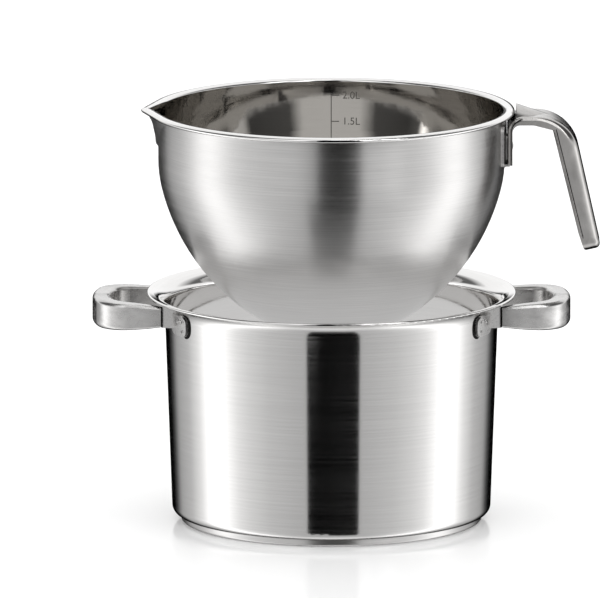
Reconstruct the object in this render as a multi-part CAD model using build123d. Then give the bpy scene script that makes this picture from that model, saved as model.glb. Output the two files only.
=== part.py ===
from build123d import *
import math
import os

# Double boiler: a two-handled stockpot and a spouted melting bowl that sits in its mouth.
# The frame stands on the pot's axis at the underside of its base, with +Z up.
# +X points at the bowl's handle and -X at its spout. Lengths are in millimetres.

# Pot, a drawn steel shell with a flared lip
pot_height = 122.0
pot_sheet = 0.8
pot_foot_radius = 84.0
pot_foot_bend = 4.5
pot_mouth_radius = 88.25
lip_width = 9.25
lip_rise = 2.5
lip_bend = 7.5
lip_edge_radius = 0.75

# Base, an aluminium disc inside a pressed steel cap
base_height = 3.5
base_sheet = 0.6
base_edge_bend = 1.2

# Side handles of the pot, loops of flattened tube
loop_stand = 37.85
loop_drop = 8.8
loop_height = 15.0
loop_depth = 9.6
loop_corner = 2.6
loop_wall = 1.2
loop_bulge_radius = 60.0
loop_corner_bend = 15.0
loop_bulge_half_angle = 15.0
loop_splay_angle = 9.0
neck_stand = 0.75
neck_height = 10.5
neck_depth = 4.6
neck_corner = 1.4
neck_run_shares = (0.45, 1.0)
least_bend_share = 0.25

# Brackets that carry the loops on the pot's wall
bracket_sheet = 2.0
bracket_arm_height = 11.2
bracket_tongue = 8.0
bracket_fit = 0.1
tab_sheet = 1.5
tab_start_angle = 19.5
tab_end_angle = 31.0
tab_height = 11.0
tab_drop = 11.5
tab_corner = 4.6

# Bowl, a deep drawn melting bowl
bowl_lift = 98.0
bowl_sheet = 0.7
bowl_radius = 91.3
bowl_wall_height = 27.8
knee_radius = 58.9
knee_turn = 13.3
belly_radius = 113.1
belly_turn = 46.7
heel_radius = 22.0

# Rolled rim of the bowl and its pouring spout
rim_width = 5.8
rim_thickness = 3.0
spout_reach = 5.9
spout_half_angle = 19.0
spout_depth = 22.7
spout_nose_radius = 3.4
spout_run_out = 0.5
spout_depth_shares = (0.1, 0.16, 0.285, 0.43, 0.57, 0.71, 0.86, 1.08)
spout_reach_shares = (0.98, 0.93, 0.68, 0.485, 0.365, 0.27, 0.15, -0.09)
rim_nose_lead = 0.3
rim_nose_radius = 3.2

# Bowl handle, one pressed channel from strap to grip
handle_width = 30.0
handle_sheet = 1.2
handle_edge_bend = 2.2
grip_edge_bend = 5.0
grip_tip_bend = 2.6
curl_width = 3.6
curl_bend = 2.2
edge_slack = 0.3
strap_seat = 1.3
strap_drop = 28.5
handle_drop = 2.75
strap_flange = 2.6
top_flange = 4.3
shoulder_flange = 6.8
grip_depth = 9.8
neck_bend = 8.0
grip_bend = 22.5
shoulder_stand = 34.8
grip_stand = 50.6
grip_drop = 73.2
scoop_length = 22.0
scoop_slope_share = 0.9
scoop_bend = 3.0
grip_end_bend = 5.0
grip_corner_bend = 8.5
crown_radius = 19.0
crown_rise = 4.8
crown_stand = 6.0

# Bracket and rivet that hold the strap to the bowl
pad_sheet = 1.0
pad_width = 34.0
pad_drop = 7.0
pad_corner = 4.0
land_width = 17.0
land_height = 15.0
land_corner = 3.0
foot_sheet = 1.2
foot_width = 22.0
rivet_drop = 20.3
rivet_shank_radius = 2.0
rivet_fit = 0.1
rivet_head_radius = 3.9
rivet_head_rise = 2.0

# One overrun serves every cut that runs past a face
overrun = 2.0

# Heights and radii that follow from the sizes above
lip_radius = pot_mouth_radius + lip_width
base_radius = pot_foot_radius - pot_foot_bend
loop_reach = pot_mouth_radius + loop_stand
neck_reach = pot_mouth_radius + neck_stand
loop_z = pot_height - loop_drop
bowl_rim_z = pot_height + bowl_lift
knee_z = bowl_rim_z - bowl_wall_height
rim_centre_z = bowl_rim_z - rim_thickness / 2
bowl_inner_radius = bowl_radius - bowl_sheet
rim_centre_radius = bowl_inner_radius + rim_width / 2
rim_nose_reach = bowl_radius + spout_reach + rim_nose_lead
strap_x = bowl_radius + strap_seat
shoulder_reach = bowl_radius + shoulder_stand
grip_reach = bowl_radius + grip_stand
crown_start = bowl_radius + crown_stand


def offset_corners(corners, distance):
    """Corners of an open outline moved to the left of its direction by a distance"""
    headings = [
        (Vector(*end) - Vector(*start)).normalized()
        for start, end in zip(corners, corners[1:])
    ]
    normals = [Vector(-h.Y, h.X) for h in headings]
    moved = [Vector(*corners[0]) + normals[0] * distance]
    for corner, before, after in zip(corners[1:], normals, normals[1:]):
        bisector = (before + after).normalized()
        moved.append(Vector(*corner) + bisector * (distance / bisector.dot(before)))
    moved.append(Vector(*corners[-1]) + normals[-1] * distance)
    return [(point.X, point.Y) for point in moved]


def turned(outline):
    """Solid that an outline of radius and height sweeps about the pot's axis"""
    return revolve(Plane.XZ * make_face(outline), Axis.Z, 360)


# Pot shell
pot_corners = [
    (0, base_height),
    (pot_foot_radius, base_height),
    (pot_mouth_radius, pot_height - lip_rise),
    (lip_radius - lip_edge_radius, pot_height - lip_edge_radius),
]


def pot_line(offset):
    """Meridian of the pot from the axis to the lip, moved outwards by an offset"""
    corners = offset_corners(pot_corners, -offset)
    return FilletPolyline(*corners, radius=[pot_foot_bend + offset, lip_bend - offset])


def band_outline(inner, outer):
    """Closed outline between two meridians that run the same way"""
    return Curve() + [inner, outer, Line(inner @ 0, outer @ 0), Line(inner @ 1, outer @ 1)]


def make_pot_shell():
    sheet = turned(band_outline(pot_line(0), pot_line(-pot_sheet)))
    edge_centre = Pos(*pot_corners[-1])
    edge = revolve(Plane.XZ * edge_centre * Circle(lip_edge_radius), Axis.Z, 360)
    return sheet + edge


def pot_envelope():
    """Everything that the pot's outer surface encloses, up to the lip"""
    line = pot_line(0)
    over = (line @ 1) + Vector(0, overrun)
    axis_top = (0, over.Y)
    outline = Curve() + [line, Polyline(line @ 1, over, axis_top, line @ 0)]
    return turned(outline)


# Base
def make_base_cap():
    inner = base_radius - base_sheet
    rim = Pos(0, 0, base_height) * Cylinder(
        base_radius, base_height, align=(Align.CENTER, Align.CENTER, Align.MAX)
    )
    cavity = Pos(0, 0, base_sheet) * Cylinder(
        inner, base_height, align=(Align.CENTER, Align.CENTER, Align.MIN)
    )
    cap = fillet(rim.edges().group_by(Axis.Z)[0], base_edge_bend)
    cavity = fillet(cavity.edges().group_by(Axis.Z)[0], base_edge_bend - base_sheet)
    return cap - cavity


def make_base_core():
    disc = Pos(0, 0, base_sheet) * Cylinder(
        base_radius - base_sheet,
        base_height - base_sheet,
        align=(Align.CENTER, Align.CENTER, Align.MIN),
    )
    return fillet(disc.edges().group_by(Axis.Z)[0], base_edge_bend - base_sheet)


# Loop handles of the pot, drawn for the +X side and mirrored for the other
def half_loop_line():
    """Centre line of a loop from its apex to its neck on the +Y side"""
    apex = (loop_reach - loop_depth / 2, 0, loop_z)
    bulge = JernArc(apex, (0, 1, 0), loop_bulge_radius, loop_bulge_half_angle)
    turn = 90 - loop_bulge_half_angle - loop_splay_angle
    corner = JernArc(bulge @ 1, bulge % 1, loop_corner_bend, turn)
    run = ((corner @ 1).X - neck_reach) / math.cos(math.radians(loop_splay_angle))
    leg = Line(corner @ 1, (corner @ 1) + (corner % 1) * run)
    return Curve() + [bulge, corner, leg]


def loop_section(at, heading, depth, height, corner, inset):
    """Rounded section of the tube, square to its line"""
    plane = Plane(origin=at, x_dir=heading.cross(Vector(0, 0, 1)), z_dir=heading)
    corner_bend = max(corner - inset, corner * least_bend_share)
    return plane * RectangleRounded(depth - 2 * inset, height - 2 * inset, corner_bend)


def loop_solid(inset):
    """Tube along the loop, its skin moved inwards by an inset"""
    half = half_loop_line().edges()
    bulge, corner, leg = half[0], half[1], half[2]
    stations = [(bulge @ 0, bulge % 0, 1.0), (corner @ 0.5, corner % 0.5, 1.0)]
    stations += [(leg @ share, leg % share, 1.0 - share) for share in neck_run_shares]
    sections = []
    for at, heading, fullness in stations:
        depth = neck_depth + (loop_depth - neck_depth) * fullness
        height = neck_height + (loop_height - neck_height) * fullness
        bend = neck_corner + (loop_corner - neck_corner) * fullness
        sections.append(loop_section(at, heading, depth, height, bend, inset))
    front = sweep(sections, path=Wire([bulge, corner, leg]), multisection=True)
    return front + mirror(front, Plane.XZ)


def make_loop():
    return loop_solid(0) - loop_solid(loop_wall)


def make_loop_bracket():
    """Bracket on the +X side of the pot and the +Y side of its loop"""
    leg = half_loop_line().edges()[2]
    outward = (leg % 1) * -1
    plane = Plane(origin=leg @ 1, x_dir=outward.cross(Vector(0, 0, 1)), z_dir=outward)
    reach = neck_reach * math.sin(math.radians(tab_start_angle))
    bar = extrude(plane * Rectangle(bracket_sheet, bracket_arm_height), -reach)
    tongue_depth = neck_depth - 2 * loop_wall - 2 * bracket_fit
    tongue_height = neck_height - 2 * loop_wall - 2 * bracket_fit
    tongue = extrude(plane * Rectangle(tongue_depth, tongue_height), bracket_tongue)
    wedge_reach = lip_radius + overrun
    arm_limit = Rot(0, 0, tab_start_angle) * Pos(0, -wedge_reach, loop_z) * Box(
        2 * wedge_reach, 2 * wedge_reach + 2 * bracket_sheet, pot_height
    )
    arm = (bar & arm_limit) + tongue
    return arm - pot_envelope() + make_bracket_tab()


def make_bracket_tab():
    """Rounded tab that lies on the pot's wall beside the arm"""
    jacket = turned(band_outline(pot_line(0), pot_line(tab_sheet)))
    middle = (tab_start_angle + tab_end_angle) / 2
    half_angle = (tab_end_angle - tab_start_angle) / 2
    width = 2 * pot_mouth_radius * math.sin(math.radians(half_angle))
    facing = Plane.YZ * RectangleRounded(width, tab_height, tab_corner)
    prism = Rot(0, 0, middle) * Pos(0, 0, pot_height - tab_drop) * extrude(
        facing, lip_radius
    )
    return jacket & prism


# Bowl shell with its spout and rolled rim
def bowl_line(inset, top):
    """Meridian of the bowl from a height down to the axis, moved inwards by an inset"""
    radius = bowl_radius - inset
    wall = Line((radius, top), (radius, knee_z))
    knee = JernArc(wall @ 1, wall % 1, knee_radius - inset, -knee_turn)
    belly = JernArc(knee @ 1, knee % 1, belly_radius - inset, -belly_turn)
    heel_turn = 90 - knee_turn - belly_turn
    heel = JernArc(belly @ 1, belly % 1, heel_radius - inset, -heel_turn)
    floor = Line(heel @ 1, (0, (heel @ 1).Y))
    return Curve() + [wall, knee, belly, heel, floor]


def bowl_solid(inset, top):
    """Everything inside the bowl's meridian, filled up to a height"""
    line = bowl_line(inset, top)
    floor = line.edges().sort_by(Axis.Y)[0]
    lid = Polyline((0, (floor @ 0).Y), (0, top), (bowl_radius - inset, top))
    return turned(Curve() + [line, lid])


def spout_section(reach, height, inset):
    """Level triangle whose rounded nose stands out of the bowl's wall by a reach"""
    radius = bowl_radius - inset
    root_x = -radius * math.cos(math.radians(spout_half_angle))
    root_y = (radius - spout_run_out) * math.sin(math.radians(spout_half_angle))
    nose_x = -(radius + reach)
    corners = [(root_x, root_y), (nose_x, 0), (root_x, -root_y)]
    bends = [0, spout_nose_radius - inset, 0]
    outline = FilletPolyline(*corners, radius=bends, close=True)
    return Pos(0, 0, height) * make_face(outline)


def spout_solid(inset, top):
    """Trumpet of the spout, from above the rim down to where it meets the wall"""
    sections = [spout_section(spout_reach, top, inset)]
    for depth_share, reach_share in zip(spout_depth_shares, spout_reach_shares):
        height = bowl_rim_z - spout_depth * depth_share
        sections.append(spout_section(spout_reach * reach_share, height, inset))
    return loft(sections, ruled=False)


def rim_path():
    """Centre line of the rolled rim: a circle drawn out to the spout's nose"""
    tangent_angle = math.degrees(math.acos(rim_centre_radius / rim_nose_reach))
    at = math.radians(180 - tangent_angle)
    tangent = (rim_centre_radius * math.cos(at), rim_centre_radius * math.sin(at))
    below = (tangent[0], -tangent[1])
    nose = FilletPolyline(tangent, (-rim_nose_reach, 0), below, radius=rim_nose_radius)
    ring = CenterArc((0, 0), rim_centre_radius, tangent_angle - 180, 360 - 2 * tangent_angle)
    return Wire((Pos(0, 0, rim_centre_z) * (Curve() + [ring, nose])).edges())


def make_rim():
    path = rim_path()
    plane = Plane(origin=path @ 0, x_dir=(path % 0).cross(Vector(0, 0, 1)), z_dir=path % 0)
    return sweep(plane * Ellipse(rim_width / 2, rim_thickness / 2), path=path)


def make_bowl_shell():
    above = bowl_rim_z + overrun
    outside = bowl_solid(0, rim_centre_z) + spout_solid(0, rim_centre_z)
    inside = bowl_solid(bowl_sheet, above) + spout_solid(bowl_sheet, above)
    return outside + make_rim() - inside


# Bowl handle, drawn in side view as reach and height
grip_heading = Vector(grip_reach - shoulder_reach, handle_drop - grip_drop).normalized()
grip_inward = Vector(grip_heading.Y, -grip_heading.X)


def handle_back_corners(inset):
    """Crowned side of the channel, from the strap's end to the grip's end"""
    corners = [
        (strap_x, bowl_rim_z - strap_drop),
        (strap_x, bowl_rim_z - handle_drop),
        (shoulder_reach, bowl_rim_z - handle_drop),
        (grip_reach, bowl_rim_z - grip_drop),
    ]
    return offset_corners(corners, -inset)


def point_beside_grip(along, depth):
    """Point at a length up the grip from its end and a depth in from its back"""
    end = Vector(grip_reach, bowl_rim_z - grip_drop)
    point = end - grip_heading * along + grip_inward * depth
    return (point.X, point.Y)


def grip_flange_corners():
    """Upper and lower end of the grip's flanges in side view"""
    upper = (shoulder_reach - grip_depth, bowl_rim_z - handle_drop - shoulder_flange)
    return upper, point_beside_grip(scoop_length / 2, grip_depth)


def handle_side():
    """Side view of the handle between its back and the edges of its flanges"""
    back = handle_back_corners(0)
    grip_top, grip_low = grip_flange_corners()
    flange = [
        point_beside_grip(0, grip_depth - handle_edge_bend / 2),
        grip_low,
        grip_top,
        (grip_top[0] - grip_depth, bowl_rim_z - handle_drop - top_flange),
        (strap_x + strap_flange, bowl_rim_z - handle_drop - top_flange),
        (strap_x + strap_flange, bowl_rim_z - strap_drop),
    ]
    bends = [0, neck_bend, grip_bend, 0]
    bends += [handle_edge_bend, grip_corner_bend, handle_sheet, neck_bend, neck_bend / 2, 0]
    outline = FilletPolyline(*back, *flange, radius=bends, close=True)
    return make_face(outline)


def channel_side():
    """Side view of the channel's hollow, open past the flanges"""
    back = handle_back_corners(handle_sheet)
    strap_end = (back[0][0], back[0][1] - overrun)
    open_x = (strap_x + shoulder_reach) / 2
    scoop_back = point_beside_grip(grip_end_bend, handle_sheet)
    scoop_rise = scoop_length * scoop_slope_share
    scoop_front = point_beside_grip(grip_end_bend + scoop_rise, grip_depth + overrun)
    corners = [strap_end, back[1], back[2], scoop_back, scoop_front, (open_x, strap_end[1])]
    bends = [0, neck_bend - handle_sheet, grip_bend - handle_sheet, scoop_bend, 0, 0]
    return make_face(FilletPolyline(*corners, radius=bends, close=True))


def across(face, width):
    """Side view pulled out across the handle, half to each side"""
    return extrude(Plane.XZ * face, width / 2, both=True)


def grip_front(inset):
    """Front view of the handle, round at the grip's end, pushed through its depth"""
    end = Vector(grip_reach, 0, bowl_rim_z - grip_drop)
    length = 2 * (grip_reach - bowl_radius + grip_drop)
    heading = Vector(grip_heading.X, 0, grip_heading.Y)
    sideways = Vector(0, 1, 0)
    middle = end - heading * (length / 2)
    plane = Plane(origin=middle, x_dir=sideways, z_dir=heading.cross(sideways))
    outline = RectangleRounded(
        handle_width - 2 * inset, length - 2 * inset, grip_corner_bend - inset
    )
    return extrude(plane * outline, length, both=True)


def handle_back_edges():
    """Edges of the line down the handle's back, run on past both of its ends"""
    strap_end, strap_top, shoulder, grip_end = handle_back_corners(0)
    start = (strap_end[0], strap_end[1] - overrun)
    end = Vector(*grip_end) + grip_heading * overrun
    corners = [start, strap_top, shoulder, (end.X, end.Y)]
    line = FilletPolyline(*corners, radius=[neck_bend, grip_bend])
    return (Plane.XZ * line).edges().sort_by(Plane.XZ * line)


def handle_section(at, heading, depth, bend, inset):
    """Section square to the handle's back, rounded there and square past the flanges"""
    plane = Plane(origin=at, x_dir=(0, -1, 0), z_dir=heading)
    half_width = handle_width / 2 - inset
    front = depth + overrun
    corners = [(-half_width, front), (-half_width, inset), (half_width, inset), (half_width, front)]
    bends = [0, bend - inset, bend - inset, 0]
    return plane * make_face(FilletPolyline(*corners, radius=bends, close=True))


def handle_jacket(inset):
    """Space between the handle's rounded back corners, moved inwards by an inset"""
    marks = [
        (strap_flange, handle_edge_bend),
        (strap_flange, handle_edge_bend),
        (top_flange, handle_edge_bend),
        (shoulder_flange, handle_edge_bend),
        (grip_depth, grip_edge_bend),
        (grip_depth, grip_edge_bend),
    ]
    jacket = Part()
    for edge, start, end in zip(handle_back_edges(), marks, marks[1:]):
        sections = [
            handle_section(edge @ share, edge % share, *mark, inset)
            for share, mark in ((0, start), (1, end))
        ]
        jacket += sweep(sections, path=edge, multisection=True)
    return jacket


def beside_grip(point):
    """A point's length up the grip from its end, and its depth in from the grip's back"""
    offset = Vector(point.X - grip_reach, point.Z - bowl_rim_z + grip_drop)
    return -offset.dot(grip_heading), offset.dot(grip_inward)


def tip_edges(body):
    """Edges where the grip's back meets its rounded end, from one side to the other"""
    chosen = []
    for edge in body.edges():
        ups, depths = zip(*(beside_grip(edge @ share) for share in (0, 0.5, 1)))
        at_end = max(ups) < grip_corner_bend + edge_slack
        on_back = max(depths) < grip_edge_bend + edge_slack
        if at_end and on_back:
            chosen.append(edge)
    return chosen


def along_curls(section):
    """Prism down both of the grip's open edges, from the shoulder past the end"""
    upper, lower = (Vector(x, 0, z) for x, z in grip_flange_corners())
    plane = Plane(origin=upper, x_dir=(0, 1, 0), z_dir=lower - upper)
    prism = extrude(plane * section, (lower - upper).length + scoop_length)
    return prism + mirror(prism, Plane.XZ)


def curl_trim():
    """Material outside the bends by which the grip's open edges turn in"""
    side = curl_bend + overrun
    middle = handle_width / 2 - curl_bend + side / 2
    corner = Pos(middle, curl_bend - side / 2) * Rectangle(side, side)
    return along_curls(corner - Pos(handle_width / 2 - curl_bend, curl_bend) * Circle(curl_bend))


def curls():
    """Strips of sheet that the grip's open edges turn in by"""
    middle = handle_width / 2 - curl_width / 2
    return along_curls(Pos(middle, handle_sheet / 2) * Rectangle(curl_width, handle_sheet))


def make_handle_body():
    body = across(handle_side(), handle_width) & handle_jacket(0) & grip_front(0)
    return fillet(tip_edges(body), grip_tip_bend) - curl_trim()


def crown(inset):
    """Dome pressed up along the handle's top, which runs out on the bend above the grip"""
    top = bowl_rim_z - handle_drop
    tangent_length = grip_bend * math.tan(math.acos(grip_heading.X) / 2)
    bend_centre = Vector(shoulder_reach - tangent_length, top - grip_bend)
    ray = Vector(crown_start, top + crown_rise) - bend_centre
    fall = math.acos(grip_bend / ray.length) + math.atan2(ray.X, ray.Y)
    length = bend_centre.X + grip_bend * math.sin(fall) - crown_start
    axis_end = (crown_start, 0, top + crown_rise - crown_radius / math.cos(fall))
    tilt = Rot(0, 90 + math.degrees(fall), 0)
    rod = Pos(*axis_end) * tilt * Cylinder(crown_radius - inset, 2 * handle_width)
    depth = handle_sheet + overrun
    slab = Pos(crown_start + inset, 0, top - depth) * Box(
        length - inset,
        handle_width - 2 * handle_edge_bend,
        depth + crown_rise,
        align=(Align.MIN, Align.CENTER, Align.MIN),
    )
    return rod & slab


def make_bowl_handle():
    channel = across(channel_side(), handle_width - 2 * handle_sheet)
    hollow = (channel & handle_jacket(handle_sheet)) - curls() + crown(handle_sheet)
    return make_handle_body() + crown(0) - hollow - rivet_bore()


def rivet_axis():
    return Location((strap_x, 0, bowl_rim_z - rivet_drop), (0, 90, 0))


def rivet_bore():
    return rivet_axis() * Cylinder(rivet_shank_radius + rivet_fit, 2 * neck_bend)


def make_handle_bracket():
    """Pad on the bowl's wall with a flat land and a foot for the strap"""
    pad_height = strap_drop + foot_sheet - pad_drop
    pad_z = bowl_rim_z - pad_drop - pad_height / 2
    ring = Pos(0, 0, pad_z) * (
        Cylinder(bowl_radius + pad_sheet, pad_height) - Cylinder(bowl_radius, pad_height)
    )
    pad_face = Plane.YZ * RectangleRounded(pad_width, pad_height, pad_corner)
    pad = ring & Pos(0, 0, pad_z) * extrude(pad_face, strap_x + overrun)
    land_face = Plane.YZ * RectangleRounded(land_width, land_height, land_corner)
    land = Pos(0, 0, bowl_rim_z - rivet_drop) * extrude(land_face, strap_x)
    foot_reach = strap_x + handle_sheet
    foot_z = bowl_rim_z - strap_drop - foot_sheet / 2
    foot = Pos(foot_reach / 2, 0, foot_z) * Box(foot_reach, foot_width, foot_sheet)
    core = Pos(0, 0, pad_z) * Cylinder(bowl_radius, 2 * pad_height)
    return pad + (land - core) + (foot - core) - rivet_bore()


def make_rivet():
    """Shank through strap and land with a low domed head on the strap"""
    seat = strap_x + handle_sheet
    start = bowl_radius + rivet_fit
    crest = (seat + rivet_head_rise, 0)
    edge = (seat, rivet_head_radius)
    dome_radius = (rivet_head_radius**2 + rivet_head_rise**2) / (2 * rivet_head_rise)
    shank = Polyline(
        crest, (start, 0), (start, rivet_shank_radius), (seat, rivet_shank_radius), edge
    )
    dome = CenterArc(
        (crest[0] - dome_radius, 0),
        dome_radius,
        0,
        math.degrees(math.asin(rivet_head_radius / dome_radius)),
    )
    profile = Plane.XZ * make_face(Curve() + [shank, dome])
    return Pos(0, 0, bowl_rim_z - rivet_drop) * revolve(profile, Axis.X, 360)


def mirrored_copies(name, shape):
    """A piece of the +X side and its twin on the -X side"""
    return {f"right_{name}": shape, f"left_{name}": mirror(shape, Plane.YZ)}


rear_bracket = make_loop_bracket()
parts = {
    "pot_shell": make_pot_shell(),
    "base_core": make_base_core(),
    "base_cap": make_base_cap(),
    "bowl_shell": make_bowl_shell(),
    "bowl_handle": make_bowl_handle(),
    "bowl_handle_bracket": make_handle_bracket(),
    "handle_rivet": make_rivet(),
}
parts |= mirrored_copies("loop_handle", make_loop())
parts |= mirrored_copies("rear_bracket", rear_bracket)
parts |= mirrored_copies("front_bracket", mirror(rear_bracket, Plane.XZ))

os.makedirs("parts", exist_ok=True)
for name, shape in parts.items():
    export_step(shape, f"parts/{name}.step")
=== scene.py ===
"""Dresses the double boiler's fixed frame and sets it in a plain pale studio.

The frame holds the pot, its bowl and their fittings at real size, with +Z up, +X towards the
bowl's handle and -Y towards the viewer. Every size below is in millimetres unless its name
says otherwise, and becomes metres only where a mesh or a node is made.
"""

import logging
import math
from dataclasses import dataclass
from enum import Enum

import bmesh
import bpy
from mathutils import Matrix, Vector


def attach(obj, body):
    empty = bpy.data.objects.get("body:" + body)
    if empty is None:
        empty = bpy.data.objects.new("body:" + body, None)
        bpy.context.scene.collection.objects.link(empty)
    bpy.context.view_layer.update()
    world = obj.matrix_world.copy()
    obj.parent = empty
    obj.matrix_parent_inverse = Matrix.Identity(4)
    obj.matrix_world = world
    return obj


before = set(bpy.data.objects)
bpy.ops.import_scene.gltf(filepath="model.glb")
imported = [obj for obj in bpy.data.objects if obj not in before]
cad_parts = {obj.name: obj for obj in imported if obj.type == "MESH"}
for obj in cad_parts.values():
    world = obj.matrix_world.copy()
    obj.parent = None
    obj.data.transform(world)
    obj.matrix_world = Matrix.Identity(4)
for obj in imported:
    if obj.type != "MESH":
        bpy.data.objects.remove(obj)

log = logging.getLogger("double_boiler")

MM = 0.001

# Noise keeps near its middle value, so patterns stretch this range to their whole one
NOISE_RANGE = (0.33, 0.67)
# A quarter turn makes the shader smear light across the rings, up and down the wall
SMEAR_TURN = 0.25
# Points of a mark that lie nearer to each other than this are one point
SAME_POINT = 0.001

Colour = tuple[float, float, float, float]


def linear(code: str) -> Colour:
    """Turns an sRGB hex colour into the linear values that shaders and lights take.

    Args:
        code: The colour as "#RRGGBB".

    Returns:
        Linear red, green and blue, and an alpha of 1.
    """
    shares = [int(code[i : i + 2], 16) / 255 for i in (1, 3, 5)]
    red, green, blue = (
        share / 12.92 if share <= 0.04045 else ((share + 0.055) / 1.055) ** 2.4
        for share in shares
    )
    return (red, green, blue, 1.0)


def add_node(
    tree: bpy.types.NodeTree,
    kind: str,
    settings: dict[str, object] | None = None,
    inputs: dict[int | str, object] | None = None,
) -> bpy.types.Node:
    """Adds one node with its settings, and links or sets its inputs.

    Args:
        tree: The node tree that gets the node.
        kind: Blender's name for the kind of node.
        settings: Attributes of the node, by name.
        inputs: For each input, by name or place, a socket to link or a value to set.

    Returns:
        The new node.
    """
    node = tree.nodes.new(kind)
    for name, value in (settings or {}).items():
        setattr(node, name, value)
    for key, value in (inputs or {}).items():
        if isinstance(value, bpy.types.NodeSocket):
            tree.links.new(value, node.inputs[key])
        else:
            node.inputs[key].default_value = value
    return node


def blank_material(name: str) -> tuple[bpy.types.Material, bpy.types.NodeTree]:
    """Makes an empty node material.

    Args:
        name: The material's name.

    Returns:
        The material and its node tree, with no node in it.
    """
    material = bpy.data.materials.new(name)
    material.use_nodes = True
    material.node_tree.nodes.clear()
    return material, material.node_tree


def turned_normal(tree: bpy.types.NodeTree) -> bpy.types.NodeSocket:
    """Adds the nodes that point a turned surface's normal exactly away from the pot's axis.

    The mesh's own normal keeps its upward part, so that only its sideways unevenness goes.

    Args:
        tree: The material's node tree.

    Returns:
        A socket with the normal.
    """
    place = add_node(tree, "ShaderNodeTexCoord").outputs["Object"]
    own = add_node(tree, "ShaderNodeNewGeometry").outputs["Normal"]
    ring = add_node(
        tree, "ShaderNodeVectorMath", {"operation": "MULTIPLY"}, {0: place, 1: (1, 1, 0)}
    )
    away = add_node(
        tree, "ShaderNodeVectorMath", {"operation": "NORMALIZE"}, {0: ring.outputs[0]}
    )
    lean = add_node(
        tree, "ShaderNodeVectorMath", {"operation": "DOT_PRODUCT"}, {0: own, 1: away.outputs[0]}
    )
    flat = add_node(
        tree,
        "ShaderNodeVectorMath",
        {"operation": "SCALE"},
        {0: away.outputs[0], "Scale": lean.outputs["Value"]},
    )
    rise = add_node(
        tree, "ShaderNodeVectorMath", {"operation": "MULTIPLY"}, {0: own, 1: (0, 0, 1)}
    )
    both = add_node(
        tree,
        "ShaderNodeVectorMath",
        {"operation": "ADD"},
        {0: flat.outputs[0], 1: rise.outputs[0]},
    )
    final = add_node(
        tree, "ShaderNodeVectorMath", {"operation": "NORMALIZE"}, {0: both.outputs[0]}
    )
    return final.outputs[0]


@dataclass(frozen=True)
class RoundPattern:
    """Noise drawn out into rings about the pot's axis, as turning and belt grinding leave it."""

    pitch: float
    length: float
    radius: float = 90.0
    detail: float = 3.0

    def height(self, tree: bpy.types.NodeTree) -> bpy.types.NodeSocket:
        """Adds the nodes of the pattern.

        Args:
            tree: The material's node tree.

        Returns:
            A socket with the pattern's value, from 0 to 1.
        """
        place = add_node(tree, "ShaderNodeTexCoord").outputs["Object"]
        axes = add_node(tree, "ShaderNodeSeparateXYZ", inputs={0: place})
        flat = add_node(
            tree, "ShaderNodeCombineXYZ", inputs={0: axes.outputs[0], 1: axes.outputs[1]}
        )
        reach = add_node(
            tree, "ShaderNodeVectorMath", {"operation": "LENGTH"}, {0: flat.outputs[0]}
        )
        heading = add_node(
            tree, "ShaderNodeVectorMath", {"operation": "NORMALIZE"}, {0: flat.outputs[0]}
        )
        # Height plus radius runs along wall and floor alike, so the rings stay evenly spaced
        run = add_node(
            tree,
            "ShaderNodeMath",
            {"operation": "ADD"},
            {0: axes.outputs[2], 1: reach.outputs["Value"]},
        )
        around = add_node(
            tree,
            "ShaderNodeVectorMath",
            {"operation": "SCALE"},
            {0: heading.outputs[0], "Scale": self.radius / self.length},
        )
        rings = add_node(
            tree,
            "ShaderNodeMath",
            {"operation": "MULTIPLY"},
            {0: run.outputs[0], 1: 1 / (self.pitch * MM)},
        )
        lift = add_node(tree, "ShaderNodeCombineXYZ", inputs={2: rings.outputs[0]})
        point = add_node(
            tree,
            "ShaderNodeVectorMath",
            {"operation": "ADD"},
            {0: around.outputs[0], 1: lift.outputs[0]},
        )
        noise = add_node(
            tree,
            "ShaderNodeTexNoise",
            inputs={"Vector": point.outputs[0], "Scale": 1.0, "Detail": self.detail},
        )
        return noise.outputs[0]


@dataclass(frozen=True)
class GrainPattern:
    """Even noise with a grain of a real size, for polishing marks and waviness."""

    grain: tuple[float, float, float]
    detail: float = 2.0

    def height(self, tree: bpy.types.NodeTree) -> bpy.types.NodeSocket:
        """Adds the nodes of the pattern.

        Args:
            tree: The material's node tree.

        Returns:
            A socket with the pattern's value, from 0 to 1.
        """
        place = add_node(tree, "ShaderNodeTexCoord").outputs["Object"]
        scale = tuple(1 / (size * MM) for size in self.grain)
        point = add_node(
            tree, "ShaderNodeVectorMath", {"operation": "MULTIPLY"}, {0: place, 1: scale}
        )
        noise = add_node(
            tree,
            "ShaderNodeTexNoise",
            inputs={"Vector": point.outputs[0], "Scale": 1.0, "Detail": self.detail},
        )
        return noise.outputs[0]


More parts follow.
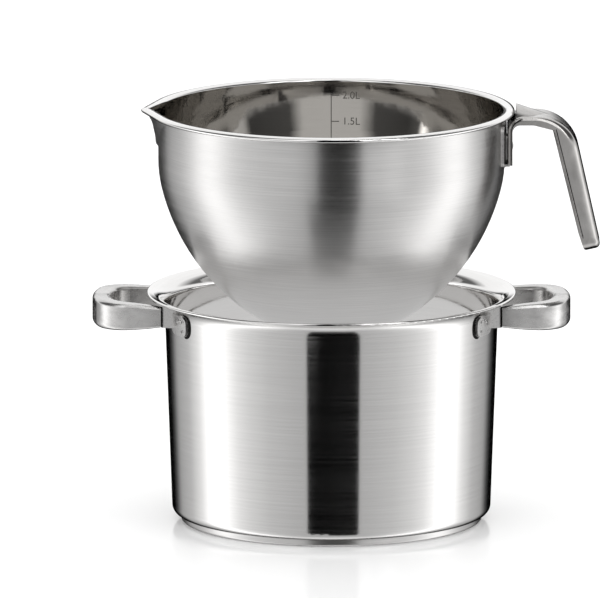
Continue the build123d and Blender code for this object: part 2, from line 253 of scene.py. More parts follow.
@dataclass(frozen=True)
class SteelFinish:
    """Stainless steel of the 18/8 kind with one surface treatment.

    The pattern varies the roughness between its two limits, darkens the colour a little and
    raises the surface by a bump of a real height. A turned finish is for surfaces that are
    round about the pot's axis.
    """

    name: str
    colour: str
    pattern: RoundPattern | GrainPattern
    roughness: tuple[float, float]
    bump_height: float
    bump_strength: float
    dark_share: float = 0.0
    anisotropy: float = 0.0
    waviness: GrainPattern | None = None
    wave_height: float = 0.0
    turned: bool = False

    def material(self) -> bpy.types.Material:
        """Builds the finish.

        Returns:
            A new material.
        """
        material, tree = blank_material(self.name)
        low, high = NOISE_RANGE
        value = add_node(
            tree, "ShaderNodeMapRange", inputs={0: self.pattern.height(tree), 1: low, 2: high}
        ).outputs[0]
        tint = linear(self.colour)
        dark = tuple(part * (1 - self.dark_share) for part in tint[:3]) + (1.0,)
        colour = add_node(
            tree, "ShaderNodeMix", {"data_type": "RGBA"}, {0: value, 6: dark, 7: tint}
        )
        rough = add_node(
            tree,
            "ShaderNodeMapRange",
            inputs={0: value, 3: self.roughness[0], 4: self.roughness[1]},
        )
        bump = add_node(
            tree,
            "ShaderNodeBump",
            inputs={
                "Height": value,
                "Strength": self.bump_strength,
                "Distance": self.bump_height * MM,
            },
        )
        if self.turned:
            tree.links.new(turned_normal(tree), bump.inputs["Normal"])
        if self.waviness is not None:
            wave = add_node(
                tree,
                "ShaderNodeBump",
                inputs={
                    "Height": self.waviness.height(tree),
                    "Strength": 1.0,
                    "Distance": self.wave_height * MM,
                },
            )
            tree.links.new(wave.outputs[0], bump.inputs["Normal"])
        inputs: dict[int | str, object] = {
            "Base Color": colour.outputs[2],
            "Metallic": 1.0,
            "Roughness": rough.outputs[0],
            "Normal": bump.outputs[0],
        }
        if self.anisotropy:
            tangent = add_node(
                tree, "ShaderNodeTangent", {"direction_type": "RADIAL", "axis": "Z"}
            )
            inputs |= {
                "Anisotropic": self.anisotropy,
                "Anisotropic Rotation": SMEAR_TURN,
                "Tangent": tangent.outputs[0],
            }
        shader = add_node(tree, "ShaderNodeBsdfPrincipled", inputs=inputs)
        add_node(tree, "ShaderNodeOutputMaterial", inputs={0: shader.outputs[0]})
        return material


@dataclass(frozen=True)
class PlainFinish:
    """A finish that is the same all over but for a fine grain in its roughness."""

    name: str
    colour: str
    roughness: float
    metallic: float
    grain: float
    spread: float = 0.2

    def material(self) -> bpy.types.Material:
        """Builds the finish.

        Returns:
            A new material.
        """
        material, tree = blank_material(self.name)
        value = GrainPattern((self.grain,) * 3).height(tree)
        rough = add_node(
            tree,
            "ShaderNodeMapRange",
            inputs={
                0: value,
                3: self.roughness * (1 - self.spread),
                4: self.roughness * (1 + self.spread),
            },
        )
        shader = add_node(
            tree,
            "ShaderNodeBsdfPrincipled",
            inputs={
                "Base Color": linear(self.colour),
                "Metallic": self.metallic,
                "Roughness": rough.outputs[0],
            },
        )
        add_node(tree, "ShaderNodeOutputMaterial", inputs={0: shader.outputs[0]})
        return material


# The pot's wall, belt ground while it turns: light smears up and down, and stays sharp across
GROUND_WALL = SteelFinish(
    name="ground stainless steel",
    colour="#DBDAD9",
    # Real grinding lines lie about 0.1 apart, drawn coarser so that they show
    pattern=RoundPattern(pitch=0.55, length=60.0),
    roughness=(0.12, 0.18),
    bump_height=0.003,
    bump_strength=0.5,
    dark_share=0.06,
    anisotropy=0.9,
    turned=True,
)

# The bowl's outside and the base's cap have a softer, duller grind than the pot's wall
SATIN_WALL = SteelFinish(
    name="satin stainless steel",
    colour="#DAD9D8",
    pattern=RoundPattern(pitch=0.6, length=50.0),
    roughness=(0.28, 0.38),
    bump_height=0.004,
    bump_strength=0.6,
    dark_share=0.12,
    anisotropy=0.85,
)

# Drawn sheet as the press and a polishing wheel leave it: a clear mirror with slow waves
BRIGHT_SHEET = SteelFinish(
    name="bright drawn stainless steel",
    colour="#E6E5E4",
    pattern=RoundPattern(pitch=0.9, length=30.0),
    roughness=(0.04, 0.08),
    bump_height=0.002,
    bump_strength=0.4,
    dark_share=0.04,
    waviness=GrainPattern((22.0, 22.0, 22.0)),
    wave_height=0.02,
)

# The bowl's inside, polished to a mirror: what it shows has bounced round the bowl and lost light
MIRROR_INSIDE = SteelFinish(
    name="mirror polished stainless steel",
    colour="#C8C6C3",
    pattern=RoundPattern(pitch=0.9, length=30.0),
    roughness=(0.03, 0.07),
    bump_height=0.002,
    bump_strength=0.4,
    dark_share=0.04,
    waviness=GrainPattern((26.0, 26.0, 26.0)),
    wave_height=0.05,
)

# The loops' tube, polished by hand: nearly a mirror, with cloudy marks of the wheel
POLISHED_FITTING = SteelFinish(
    name="polished stainless steel",
    colour="#DCDBDA",
    pattern=GrainPattern((9.0, 9.0, 5.0), detail=6.0),
    roughness=(0.14, 0.34),
    bump_height=0.05,
    bump_strength=0.6,
    dark_share=0.30,
)

# The bowl's handle and rivet, buffed smoother than the loops: bends show as light and dark lines
BUFFED_HANDLE = SteelFinish(
    name="buffed stainless steel",
    colour="#C2C0BE",
    pattern=GrainPattern((7.0, 7.0, 12.0), detail=4.0),
    roughness=(0.10, 0.22),
    bump_height=0.03,
    bump_strength=0.5,
    dark_share=0.25,
)

# Bracket steel as blanked and tumbled: soft, even and a little paler
TUMBLED_BRACKET = SteelFinish(
    name="tumbled stainless steel",
    colour="#D6D5D4",
    pattern=GrainPattern((1.2, 1.2, 1.2), detail=3.0),
    roughness=(0.26, 0.36),
    bump_height=0.01,
    bump_strength=0.5,
    dark_share=0.10,
)

# Measuring marks etched into the sheet: matt grey, because the acid leaves it rough
ETCHED_MARK = PlainFinish(
    name="etched stainless steel", colour="#85837F", roughness=0.6, metallic=1.0, grain=0.3
)

# Near-black, dull and a little brown: painted shade in the gaps at tab ends and loop necks, and
# real heat tint in weld spots
PAINTED_SHADE_AND_TINT = PlainFinish(
    name="painted shade and heat tinted steel", colour="#0F0E0D", roughness=0.5, metallic=1.0, grain=0.4
)

# The base's core, rolled aluminium plate
ROLLED_ALUMINIUM = PlainFinish(
    name="rolled aluminium", colour="#D9DADB", roughness=0.4, metallic=1.0, grain=0.8
)


class Side(Enum):
    """Which face of a thin sheet a mesh face lies on."""

    OUTER = 0
    INNER = 1
    RIM = 2


@dataclass(frozen=True)
class BowlProfile:
    """The bowl's meridian: a straight wall, a knee arc and a belly arc."""

    rim_z: float = 220.0
    inner_radius: float = 90.6
    wall_height: float = 27.8
    knee_radius: float = 58.2
    knee_turn: float = 13.3
    belly_radius: float = 112.4

    def at_depth(self, depth: float) -> tuple[float, float]:
        """Finds the inside of the sheet at a depth below the rim.

        Args:
            depth: Depth below the rim.

        Returns:
            The inner radius there, and the wall's lean from the vertical in radians.
        """
        if depth <= self.wall_height:
            return self.inner_radius, 0.0
        turn = math.radians(self.knee_turn)
        knee_drop = self.knee_radius * math.sin(turn)
        below = depth - self.wall_height
        if below <= knee_drop:
            lean = math.asin(below / self.knee_radius)
            return self.inner_radius - self.knee_radius * (1 - math.cos(lean)), lean
        centre_drop = knee_drop - self.belly_radius * math.sin(turn)
        lean = math.asin((below - centre_drop) / self.belly_radius)
        knee_end = self.inner_radius - self.knee_radius * (1 - math.cos(turn))
        return knee_end - self.belly_radius * (math.cos(turn) - math.cos(lean)), lean

    def point(self, depth: float, sideways: float, proud: float) -> Vector:
        """Places a point on the inside of the bowl's far wall.

        Args:
            depth: Depth below the rim.
            sideways: Arc length along the wall from the +Y direction, towards +X.
            proud: Height off the wall, towards the inside.

        Returns:
            The point, in metres.
        """
        radius, lean = self.at_depth(depth)
        angle = math.pi / 2 - sideways / radius
        reach = radius - proud * math.cos(lean)
        height = self.rim_z - depth + proud * math.sin(lean)
        return Vector((reach * math.cos(angle), reach * math.sin(angle), height)) * MM


@dataclass
class MeasuringScale:
    """Litre marks etched inside the bowl: one long line with ticks and plain numbers."""

    profile: BowlProfile
    line_width: float = 0.5
    tick_length: float = 4.2
    letter_height: float = 3.9
    # The height of a capital letter as a share of the font's size
    capital_share: float = 0.7
    letter_gap: float = 1.7
    line_top: float = 8.7
    line_bottom: float = 80.0
    proud: float = 0.06
    step: float = 2.0
    marks: tuple[tuple[float, str], ...] = (
        (9.0, "2.0L"),
        (23.0, "1.5L"),
        (48.0, "1.0L"),
        (71.0, "0.5L"),
    )

    def strip(
        self, name: str, low: tuple[float, float], high: tuple[float, float]
    ) -> bpy.types.Object:
        """Makes a narrow mark that lies on the bowl's inside.

        Args:
            name: The piece's name.
            low: Least depth and least sideways place.
            high: Greatest depth and greatest sideways place.

        Returns:
            The new object.
        """
        rows = max(1, round((high[0] - low[0]) / self.step))
        columns = max(1, round((high[1] - low[1]) / self.step))
        points = [
            self.profile.point(
                low[0] + (high[0] - low[0]) * row / rows,
                low[1] + (high[1] - low[1]) * column / columns,
                self.proud,
            )
            for row in range(rows + 1)
            for column in range(columns + 1)
        ]
        width = columns + 1
        starts = [row * width + column for row in range(rows) for column in range(columns)]
        faces = [(start, start + 1, start + width + 1, start + width) for start in starts]
        mesh = bpy.data.meshes.new(name)
        mesh.from_pydata(points, [], faces)
        return linked(name, mesh)

    def lettering(self, name: str, text: str, depth: float) -> bpy.types.Object:
        """Makes one number that follows the bowl's inside.

        Args:
            name: The piece's name.
            text: The number and its unit.
            depth: Depth of the number's middle below the rim.

        Returns:
            The new object.
        """
        curve = bpy.data.curves.new(name, "FONT")
        curve.body = text
        curve.size = self.letter_height / self.capital_share
        curve.align_x = "LEFT"
        curve.align_y = "CENTER"
        holder = linked(name + "_outline", curve)
        bpy.context.view_layer.update()
        evaluated = holder.evaluated_get(bpy.context.evaluated_depsgraph_get())
        mesh = bpy.data.meshes.new_from_object(evaluated)
        bpy.data.objects.remove(holder)
        start = self.tick_length + self.letter_gap
        for vertex in mesh.vertices:
            vertex.co = self.profile.point(depth - vertex.co.y, start + vertex.co.x, self.proud)
        mesh.name = name
        return linked(name, mesh)

    def build(self) -> list[bpy.types.Object]:
        """Makes the whole scale.

        Returns:
            Its pieces, the long line first.
        """
        half = self.line_width / 2
        pieces = [self.strip("scale_line", (self.line_top, -half), (self.line_bottom, half))]
        for number, (depth, text) in enumerate(self.marks, start=1):
            pieces.append(
                self.strip(
                    f"scale_tick_{number}", (depth - half, half), (depth + half, self.tick_length)
                )
            )
            pieces.append(self.lettering(f"scale_number_{number}", text, depth))
        return pieces


def shaped(name: str, shape: bmesh.types.BMesh) -> bpy.types.Object:
    """Makes an object of a finished shape, smooth and with its faces turned outwards.

    Args:
        name: The object's name.
        shape: The shape, which is freed.

    Returns:
        The new object.
    """
    bmesh.ops.recalc_face_normals(shape, faces=shape.faces)
    for face in shape.faces:
        face.smooth = True
    mesh = bpy.data.meshes.new(name)
    shape.to_mesh(mesh)
    shape.free()
    return linked(name, mesh)


def linked(name: str, data: bpy.types.ID) -> bpy.types.Object:
    """Makes an object of a mesh, curve, light or camera and puts it in the scene.

    Args:
        name: The object's name.
        data: What it shows.

    Returns:
        The new object.
    """
    thing = bpy.data.objects.new(name, data)
    bpy.context.scene.collection.objects.link(thing)
    return thing


def dress(node: str, finishes: list[bpy.types.Material]) -> bpy.types.Object:
    """Gives a frame node its materials in place of its own.

    Args:
        node: The node's name.
        finishes: Its materials, in the order of the slots.

    Returns:
        The node's object.
    """
    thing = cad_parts[node]
    thing.data.materials.clear()
    for finish in finishes:
        thing.data.materials.append(finish)
    log.info("dressed %s with %s", node, ", ".join(finish.name for finish in finishes))
    return thing


@dataclass
class TabMarks:
    """What welding leaves on one bracket tab, four spot marks, and a dark line of painted shade
    round its end.
    """

    foot_radius: float = 84.0
    foot_z: float = 3.5
    taper: float = 0.03664
    bend_z: float = 113.6
    bend_radius: float = 7.5
    tab_sheet: float = 1.5
    tab_middle_angle: float = 25.25
    tab_half_width: float = 8.85
    tab_half_height: float = 5.5
    tab_corner: float = 4.6
    tab_z: float = 110.53
    line_width: float = 1.9
    line_start: float = 0.3
    # The line's inner edge runs a little under the tab, and its ends taper by a power
    line_inset_share: float = 0.2
    line_taper: float = 0.5
    # How fast the tab's straight sides pass into its rounded end
    side_sharpness: float = 3.0
    line_steps: int = 28
    proud: float = 0.12
    spot_radius: float = 1.05
    spot_height: float = 0.45
    # The spots' bearings from the loop's axis, and their heights
    spots: tuple[tuple[float, float], ...] = (
        (24.6, 112.4),
        (26.9, 113.6),
        (28.9, 112.9),
        (28.4, 107.6),
    )
    # A spot's rings from its middle out: shares of its radius and of its height
    rings: tuple[tuple[float, float], ...] = (
        (0.0, 0.1),
        (0.3, 0.15),
        (0.55, 0.9),
        (0.75, 1.0),
        (0.9, 0.5),
        (1.0, -1.5),
    )
    tinted_band: int = 1
    turns: int = 20

    def on_wall(self, proud: float, angle: float, height: float) -> Vector:
        """Places a point outside the pot's wall.

        Args:
            proud: Its distance from the wall.
            angle: Its bearing from the +X loop's axis, towards -Y, in degrees.
            height: Its height above the floor.

        Returns:
            The point, in metres.
        """
        radius = self.foot_radius + (height - self.foot_z) * self.taper + proud
        above = max(0.0, height - self.bend_z)
        radius += self.bend_radius - math.sqrt(self.bend_radius**2 - above**2)
        turn = math.radians(angle)
        return Vector((radius * math.cos(turn), -radius * math.sin(turn), height)) * MM

    def spot(self, name: str, angle: float, height: float) -> bpy.types.Object:
        """Makes one spot mark, a shallow crater with a raised edge.

        Args:
            name: The piece's name.
            angle: Its bearing from the loop's axis, in degrees.
            height: Its height above the floor.

        Returns:
            The new object.
        """
        mesh = bmesh.new()
        rows = []
        for share, lift in self.rings:
            row = []
            for step in range(self.turns):
                turn = math.tau * step / self.turns
                along = self.spot_radius * share * math.cos(turn)
                up = self.spot_radius * share * math.sin(turn)
                sweep = math.degrees(along / self.foot_radius)
                proud = self.tab_sheet + lift * self.spot_height
                row.append(mesh.verts.new(self.on_wall(proud, angle + sweep, height + up)))
            rows.append(row)
        for band, (inner, outer) in enumerate(zip(rows, rows[1:])):
            for step in range(self.turns):
                after = (step + 1) % self.turns
                face = mesh.faces.new((inner[step], outer[step], outer[after], inner[after]))
                face.material_index = 1 if band == self.tinted_band else 0
        bmesh.ops.remove_doubles(mesh, verts=mesh.verts, dist=SAME_POINT * MM)
        return shaped(name, mesh)

    def painted_shade_line(self, name: str) -> bpy.types.Object:
        """Makes the dark line of painted shade where the tab's rounded end meets the pot's wall.

        Args:
            name: The piece's name.

        Returns:
            The new object.
        """
        mesh = bmesh.new()
        rows = []
        straight = self.tab_half_height - self.tab_corner
        for step in range(self.line_steps + 1):
            turn = math.radians(-90 + 180 * step / self.line_steps)
            across, up = math.cos(turn), math.sin(turn)
            along = self.tab_half_width - self.tab_corner + self.tab_corner * across
            side = math.copysign(straight, up) * min(1.0, abs(up) * self.side_sharpness)
            rise = side + self.tab_corner * up
            width = self.line_width * max(0.0, across) ** self.line_taper
            inset = width * self.line_inset_share
            row = []
            for out in (self.line_start - inset, self.line_start + width):
                sweep = math.degrees((along + out * across) / self.foot_radius)
                angle = self.tab_middle_angle + sweep
                place = self.on_wall(self.proud, angle, self.tab_z + rise + out * up)
                row.append(mesh.verts.new(place))
            rows.append(row)
        for low, high in zip(rows, rows[1:]):
            mesh.faces.new((low[0], low[1], high[1], high[0]))
        bmesh.ops.remove_doubles(mesh, verts=mesh.verts, dist=SAME_POINT * MM)
        return shaped(name, mesh)

    def build(self, corner: str) -> dict[str, bpy.types.Object]:
        """Makes the marks of the tab on the right and at the front.

        Args:
            corner: The name of the tab's corner, which starts each piece's name.

        Returns:
            The pieces by name: the spots and the line of painted shade.
        """
        pieces = {}
        for number, (angle, height) in enumerate(self.spots, start=1):
            name = f"{corner}_tab_spot_{number}"
            pieces[name] = self.spot(name, angle, height)
        # The line round the tab's end is painted shade, in the gap where the tab meets the wall
        name = f"{corner}_tab_end_line"
        pieces[name] = self.painted_shade_line(name)
        return pieces


@dataclass
class NeckShadeRing:
    """A ring of painted shade round a loop's neck, where the bracket's tongue goes into the tube.
    """

    end: tuple[float, float] = (88.65, -29.34)
    splay: float = 9.0
    length: float = 1.7
    depth: float = 4.6
    height: float = 10.5
    corner: float = 1.4
    proud: float = 0.12
    middle_z: float = 113.2
    corner_steps: int = 6

    def outline(self) -> list[tuple[float, float]]:
        """Finds the rounded rectangle round the neck.

        Returns:
            Places across and up from the neck's middle.
        """
        bend = self.corner + self.proud
        across = self.depth / 2 + self.proud - bend
        up = self.height / 2 + self.proud - bend
        points = []
        for quarter, (side, top) in enumerate(((1, 1), (-1, 1), (-1, -1), (1, -1))):
            for step in range(self.corner_steps + 1):
                turn = math.radians(90 * quarter + 90 * step / self.corner_steps)
                points.append(
                    (side * across + bend * math.cos(turn), top * up + bend * math.sin(turn))
                )
        return points

    def build(self, name: str) -> bpy.types.Object:
        """Makes the ring of painted shade round the neck on the right and at the front.

        Args:
            name: The piece's name.

        Returns:
            The new object.
        """
        turn = math.radians(self.splay)
        along = Vector((math.cos(turn), math.sin(turn), 0))
        across = Vector((-math.sin(turn), math.cos(turn), 0))
        start = Vector((*self.end, self.middle_z))
        mesh = bmesh.new()
        # The ring is painted shade for the gap where the tongue enters the tube
        rows = [
            [
                mesh.verts.new((start + along * run + across * side + Vector((0, 0, up))) * MM)
                for side, up in self.outline()
            ]
            for run in (0.0, self.length / 2, self.length)
        ]
        count = len(rows[0])
        for low, high in zip(rows, rows[1:]):
            for step in range(count):
                after = (step + 1) % count
                mesh.faces.new((low[step], low[after], high[after], high[step]))
        return shaped(name, mesh)


@dataclass
class Pot:
    """The stockpot: its shell, base, loop handles and their brackets."""

    marks: TabMarks
    # Draws the painted shade round each loop's neck
    shade_ring: NeckShadeRing
    body: str = "pot"
    wall_top: float = 121.0

    def side_of(self, centre: Vector, normal: Vector) -> Side:
        """Tells which face of the sheet a mesh face lies on.

        Args:
            centre: The face's middle, in metres.
            normal: The face's normal.

        Returns:
            The side of the sheet.
        """
        outward = Vector((centre.x, centre.y, 0)).dot(normal) > 0
        if outward and centre.z < self.wall_top * MM:
            return Side.OUTER
        return Side.INNER

    def mark_corner(self, corner: str, finishes: dict[str, bpy.types.Material]) -> None:
        """Adds the weld spots, the painted shade line round the tab's end and the ring of painted
        shade round the neck at one corner of the pot.

        Args:
            corner: The corner's side and end, such as "right_front".
            finishes: The materials by name.
        """
        pieces = self.marks.build(corner)
        shade_ring = f"{corner}_neck_shade_ring"
        pieces[shade_ring] = self.shade_ring.build(shade_ring)
        flip = (-1 if "left" in corner else 1, -1 if "rear" in corner else 1, 1)
        for name, piece in pieces.items():
            for vertex in piece.data.vertices:
                vertex.co = Vector(part * way for part, way in zip(vertex.co, flip))
            if flip[0] * flip[1] < 0:
                piece.data.flip_normals()
            # Spots are tumbled steel with one heat tint ring; the tab's end line and the neck's
            # ring are painted shade all through
            if "spot" in name:
                piece.data.materials.append(finishes[TUMBLED_BRACKET.name])
            piece.data.materials.append(finishes[PAINTED_SHADE_AND_TINT.name])
            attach(piece, self.body)
            log.info("added %s", name)

    def build(self, finishes: dict[str, bpy.types.Material]) -> None:
        """Dresses the pot's nodes.

        Args:
            finishes: The materials by name.
        """
        shell = dress("pot_shell", [finishes[GROUND_WALL.name], finishes[BRIGHT_SHEET.name]])
        for face in shell.data.polygons:
            face.material_index = self.side_of(face.center, face.normal).value
        dress("base_cap", [finishes[SATIN_WALL.name]])
        dress("base_core", [finishes[ROLLED_ALUMINIUM.name]])
        for side in ("right", "left"):
            dress(f"{side}_loop_handle", [finishes[POLISHED_FITTING.name]])
            for end in ("front", "rear"):
                dress(f"{side}_{end}_bracket", [finishes[TUMBLED_BRACKET.name]])
                self.mark_corner(f"{side}_{end}", finishes)


@dataclass
class Bowl:
    """The melting bowl: its shell, spout, handle, bracket, rivet and litre scale."""

    profile: BowlProfile
    scale: MeasuringScale
    body: str = "bowl"
    rim_depth: float = 3.2

    def side_of(self, centre: Vector, normal: Vector) -> Side:
        """Tells which face of the sheet a mesh face lies on.

        Args:
            centre: The face's middle, in metres.
            normal: The face's normal.

        Returns:
            The side of the sheet, or the rim.
        """
        if centre.z > (self.profile.rim_z - self.rim_depth) * MM:
            return Side.RIM
        middle = Vector((0, 0, (self.profile.rim_z + self.rim_depth) * MM))
        return Side.OUTER if (centre - middle).dot(normal) > 0 else Side.INNER

    def build(self, finishes: dict[str, bpy.types.Material]) -> None:
        """Dresses the bowl's nodes and adds the litre scale.

        Args:
            finishes: The materials by name.
        """
        shell = dress(
            "bowl_shell",
            [finishes[SATIN_WALL.name], finishes[MIRROR_INSIDE.name], finishes[BRIGHT_SHEET.name]],
        )
        for face in shell.data.polygons:
            face.material_index = self.side_of(face.center, face.normal).value
        dress("bowl_handle", [finishes[BUFFED_HANDLE.name]])
        dress("bowl_handle_bracket", [finishes[TUMBLED_BRACKET.name]])
        dress("handle_rivet", [finishes[BUFFED_HANDLE.name]])
        for piece in self.scale.build():
            piece.data.materials.append(finishes[ETCHED_MARK.name])
            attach(piece, self.body)
            log.info("added %s", piece.name)


@dataclass(frozen=True)
class Backdrop:
    """The brightness that polished metal sees round the object, by bearing and height.

    Bearings are in degrees from the viewer's side, positive to the right. Below the horizon the
    surroundings are strips of light and shade, the same on both sides. Above it hangs a tent.
    """

    strips: tuple[tuple[float, float], ...] = (
        (0.0, 0.56),
        (25.0, 0.59),
        (45.0, 0.71),
        (60.0, 0.90),
        (70.0, 1.10),
        (78.0, 1.42),
        (87.0, 1.85),
        (97.0, 1.80),
        (108.0, 1.10),
        (121.0, 0.66),
        (138.0, 0.46),
        (148.0, 0.08),
        (156.0, 0.0),
    )
    # Just above the horizon the tent is even, but for a gap in front
    low_tent: tuple[tuple[float, float], ...] = (
        (0.0, 0.25),
        (16.0, 0.3),
        (26.0, 0.8),
        (90.0, 1.1),
        (180.0, 1.12),
    )
    low_tent_edge: tuple[float, float] = (4.0, 9.0)
    # Higher up it hangs in lengths with gaps between, the light and shade of the bowl's inside
    tent: tuple[tuple[float, float], ...] = (
        (-180.0, 1.12),
        (-140.0, 1.1),
        (-122.0, 0.15),
        (-62.0, 0.1),
        (-52.0, 0.9),
        (-22.0, 1.4),
        (-12.0, 0.3),
        (3.0, 1.5),
        (25.0, 2.2),
        (33.0, 0.15),
        (44.0, 4.0),
        (52.0, 0.2),
        (70.0, 0.1),
        (118.0, 0.15),
        (140.0, 1.1),
        (180.0, 1.12),
    )
    tent_edge: tuple[float, float] = (12.0, 19.0)
    ground: float = 1.0
    ground_edge: tuple[float, float] = (-66.0, -80.0)
    behind: float = 180.0

    def heights(self, edge: tuple[float, float]) -> tuple[float, float]:
        """Turns two heights in degrees into the upward parts of their directions."""
        return math.sin(math.radians(edge[0])), math.sin(math.radians(edge[1]))

    def by_bearing(
        self,
        tree: bpy.types.NodeTree,
        bearing: bpy.types.NodeSocket,
        strips: tuple[tuple[float, float], ...],
    ) -> bpy.types.NodeSocket:
        """Adds the nodes that give the brightness at a bearing.

        Args:
            tree: The world's node tree.
            bearing: The bearing in radians.
            strips: Bearings in degrees with the brightness at each, in rising order.

        Returns:
            A socket with the brightness.
        """
        first, last = strips[0][0], self.behind
        share = add_node(
            tree,
            "ShaderNodeMapRange",
            inputs={0: bearing, 1: math.radians(first), 2: math.radians(last)},
        )
        ramp = add_node(tree, "ShaderNodeValToRGB", inputs={0: share.outputs[0]})
        peak = max(brightness for _, brightness in strips)
        stops = ramp.color_ramp.elements
        while len(stops) < len(strips):
            stops.new(1.0)
        for stop, (place, brightness) in zip(stops, strips):
            stop.position = (place - first) / (last - first)
            stop.color = (brightness / peak,) * 3 + (1.0,)
        level = add_node(
            tree, "ShaderNodeMath", {"operation": "MULTIPLY"}, {0: ramp.outputs[0], 1: peak}
        )
        return level.outputs[0]

    def build(self, tree: bpy.types.NodeTree, way: bpy.types.NodeSocket) -> bpy.types.NodeSocket:
        """Adds the nodes that give the brightness in a direction.

        Args:
            tree: The world's node tree.
            way: The direction.

        Returns:
            A socket with the brightness.
        """
        axes = add_node(tree, "ShaderNodeSeparateXYZ", inputs={0: way})
        toward = add_node(
            tree, "ShaderNodeMath", {"operation": "MULTIPLY"}, {0: axes.outputs[1], 1: -1.0}
        )
        bearing = add_node(
            tree,
            "ShaderNodeMath",
            {"operation": "ARCTAN2"},
            {0: axes.outputs[0], 1: toward.outputs[0]},
        )
        away = add_node(
            tree, "ShaderNodeMath", {"operation": "ABSOLUTE"}, {0: bearing.outputs[0]}
        )
        level = self.by_bearing(tree, away.outputs[0], self.strips)
        low = self.by_bearing(tree, away.outputs[0], self.low_tent)
        high = self.by_bearing(tree, bearing.outputs[0], self.tent)
        for brightness, edge in (
            (low, self.low_tent_edge),
            (high, self.tent_edge),
            (self.ground, self.ground_edge),
        ):
            start, end = self.heights(edge)
            cover = add_node(
                tree,
                "ShaderNodeMapRange",
                {"interpolation_type": "SMOOTHSTEP"},
                {0: axes.outputs[2], 1: start, 2: end},
            )
            level = add_node(
                tree,
                "ShaderNodeMix",
                {"data_type": "FLOAT"},
                {0: cover.outputs[0], 2: level, 3: brightness},
            ).outputs[0]
        return level


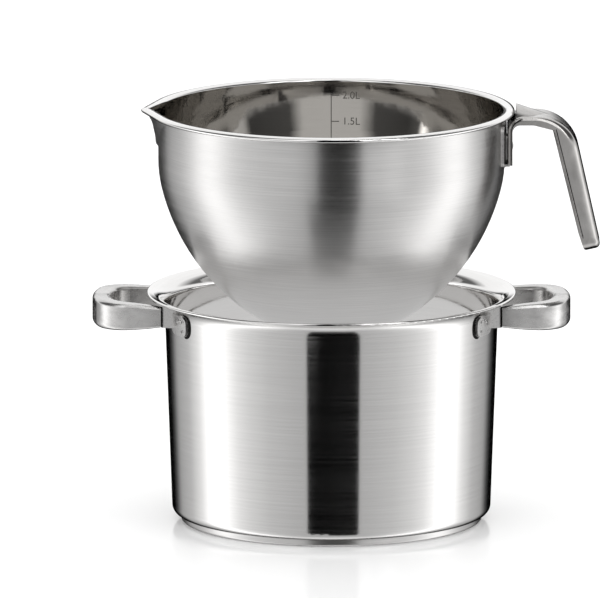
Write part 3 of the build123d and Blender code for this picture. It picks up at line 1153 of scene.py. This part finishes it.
@dataclass
class Studio:
    """A plain pale floor, soft surroundings, a black card, one wide lamp and the camera."""

    backdrop: Backdrop
    image_width: int = 600
    pixels_per_mm: float = 1.895
    aim: tuple[float, float, float] = (-16.6, 0.0, 117.5)
    elevation: float = 10.4
    distance: float = 9000.0
    clip_share: float = 3.0
    sensor: float = 36.0
    floor_radius: float = 8000.0
    floor_colour: str = "#F0F0F0"
    floor_roughness: float = 0.1
    floor_ior: float = 1.16
    # Brightness of the surroundings where they light the floor, and where they are the background
    daylight: float = 1.42
    background: float = 1.0
    lamp_size: float = 2400.0
    lamp_power: float = 6.0
    lamp_place: tuple[float, float, float] = (-300.0, -400.0, 2600.0)
    reflector_radius: float = 84.0
    reflector_height: float = 90.0
    reflector_brightness: float = 0.72
    reflector_corners: int = 48
    bounces: int = 24
    card_distance: float = 300.0
    # The card's corners across and up: it is cut narrower above, where the bowl mirrors it
    card_outline: tuple[tuple[float, float], ...] = (
        (-80.0, -180.0),
        (92.0, -180.0),
        (88.0, 900.0),
        (-38.0, 900.0),
        (-42.0, 90.0),
        (-80.0, 80.0),
    )

    def surroundings(self) -> None:
        """Builds the world, which the metal mirrors and which lights the floor evenly."""
        world = bpy.data.worlds.new("studio")
        bpy.context.scene.world = world
        world.use_nodes = True
        tree = world.node_tree
        tree.nodes.clear()
        way = add_node(tree, "ShaderNodeTexCoord").outputs["Generated"]
        paths = add_node(tree, "ShaderNodeLightPath")
        mirrored = self.backdrop.build(tree, way)
        lit = add_node(
            tree,
            "ShaderNodeMix",
            {"data_type": "FLOAT"},
            {0: paths.outputs["Is Diffuse Ray"], 2: mirrored, 3: self.daylight},
        )
        final = add_node(
            tree,
            "ShaderNodeMix",
            {"data_type": "FLOAT"},
            {0: paths.outputs["Is Camera Ray"], 2: lit.outputs[0], 3: self.background},
        )
        glow = add_node(
            tree,
            "ShaderNodeBackground",
            inputs={"Color": linear("#FFFFFF"), "Strength": final.outputs[0]},
        )
        add_node(tree, "ShaderNodeOutputWorld", inputs={0: glow.outputs[0]})

    def mirrored_card(self, name: str, points: list[Vector], brightness: float) -> None:
        """Makes a card that only polished metal sees.

        Args:
            name: The card's name.
            points: Its outline, in metres.
            brightness: How bright it is.
        """
        mesh = bpy.data.meshes.new(name)
        mesh.from_pydata(points, [], [tuple(range(len(points)))])
        card = linked(name, mesh)
        material, tree = blank_material(name)
        shader = add_node(tree, "ShaderNodeEmission", inputs={"Strength": brightness})
        add_node(tree, "ShaderNodeOutputMaterial", inputs={0: shader.outputs[0]})
        card.data.materials.append(material)
        card.visible_camera = False
        card.visible_diffuse = False
        card.visible_shadow = False

    def cards(self) -> None:
        """Stands a black card before the object and lays a pale reflector in the pot."""
        front = [
            Vector((across, -self.card_distance, up)) * MM for across, up in self.card_outline
        ]
        self.mirrored_card("black_card", front, 0.0)
        disc = []
        for step in range(self.reflector_corners):
            turn = math.tau * step / self.reflector_corners
            edge = Vector((math.cos(turn), math.sin(turn), 0)) * self.reflector_radius
            disc.append((edge + Vector((0, 0, self.reflector_height))) * MM)
        self.mirrored_card("reflector", disc, self.reflector_brightness)

    def floor(self) -> None:
        """Lays the floor, a pale glossy sheet that mirrors the pot faintly."""
        mesh = bpy.data.meshes.new("floor")
        reach = self.floor_radius * MM
        mesh.from_pydata(
            [(-reach, -reach, 0), (reach, -reach, 0), (reach, reach, 0), (-reach, reach, 0)],
            [],
            [(0, 1, 2, 3)],
        )
        sheet = linked("floor", mesh)
        material, tree = blank_material("white acrylic sheet")
        shader = add_node(
            tree,
            "ShaderNodeBsdfPrincipled",
            inputs={
                "Base Color": linear(self.floor_colour),
                "Roughness": self.floor_roughness,
                "IOR": self.floor_ior,
            },
        )
        add_node(tree, "ShaderNodeOutputMaterial", inputs={0: shader.outputs[0]})
        sheet.data.materials.append(material)
        sheet.visible_glossy = False

    def lamp(self) -> None:
        """Hangs one wide soft lamp overhead, which lights the floor."""
        data = bpy.data.lights.new("overhead", "AREA")
        data.shape = "DISK"
        data.size = self.lamp_size * MM
        data.energy = self.lamp_power
        lamp = linked("overhead", data)
        place = Vector(self.lamp_place) * MM
        lamp.location = place
        lamp.rotation_euler = (-place).to_track_quat("-Z", "Y").to_euler()
        lamp.visible_camera = False
        lamp.visible_glossy = False

    def camera(self) -> None:
        """Sets the camera at the photograph's angle, far off behind a long lens."""
        data = bpy.data.cameras.new("camera")
        shown = self.image_width / self.pixels_per_mm
        data.sensor_width = self.sensor
        data.lens = self.sensor * self.distance / shown
        data.clip_end = self.clip_share * self.distance * MM
        camera = linked("camera", data)
        tilt = math.radians(self.elevation)
        back = Vector((0.0, -math.cos(tilt), math.sin(tilt)))
        aim = Vector(self.aim) * MM
        camera.location = aim + back * self.distance * MM
        camera.rotation_euler = (-back).to_track_quat("-Z", "Y").to_euler()
        bpy.context.scene.camera = camera

    def build(self) -> None:
        """Sets up the surroundings, the cards, the floor, the lamp and the camera."""
        self.surroundings()
        self.cards()
        self.floor()
        self.lamp()
        self.camera()
        scene = bpy.context.scene
        scene.view_settings.view_transform = "Standard"
        # Light finds its way out of the polished insides only after many bounces
        scene.cycles.max_bounces = self.bounces
        scene.cycles.glossy_bounces = self.bounces
        log.info("studio is ready")


def main() -> None:
    """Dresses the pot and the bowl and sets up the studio."""
    logging.basicConfig(level=logging.INFO, format="%(name)s: %(message)s")
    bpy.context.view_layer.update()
    finishes = {
        finish.name: finish.material()
        for finish in (
            GROUND_WALL,
            SATIN_WALL,
            BRIGHT_SHEET,
            MIRROR_INSIDE,
            POLISHED_FITTING,
            BUFFED_HANDLE,
            TUMBLED_BRACKET,
            ETCHED_MARK,
            PAINTED_SHADE_AND_TINT,
            ROLLED_ALUMINIUM,
        )
    }
    profile = BowlProfile()
    Pot(TabMarks(), NeckShadeRing()).build(finishes)
    Bowl(profile, MeasuringScale(profile)).build(finishes)
    Studio(Backdrop()).build()


if __name__ == "__main__":
    main()
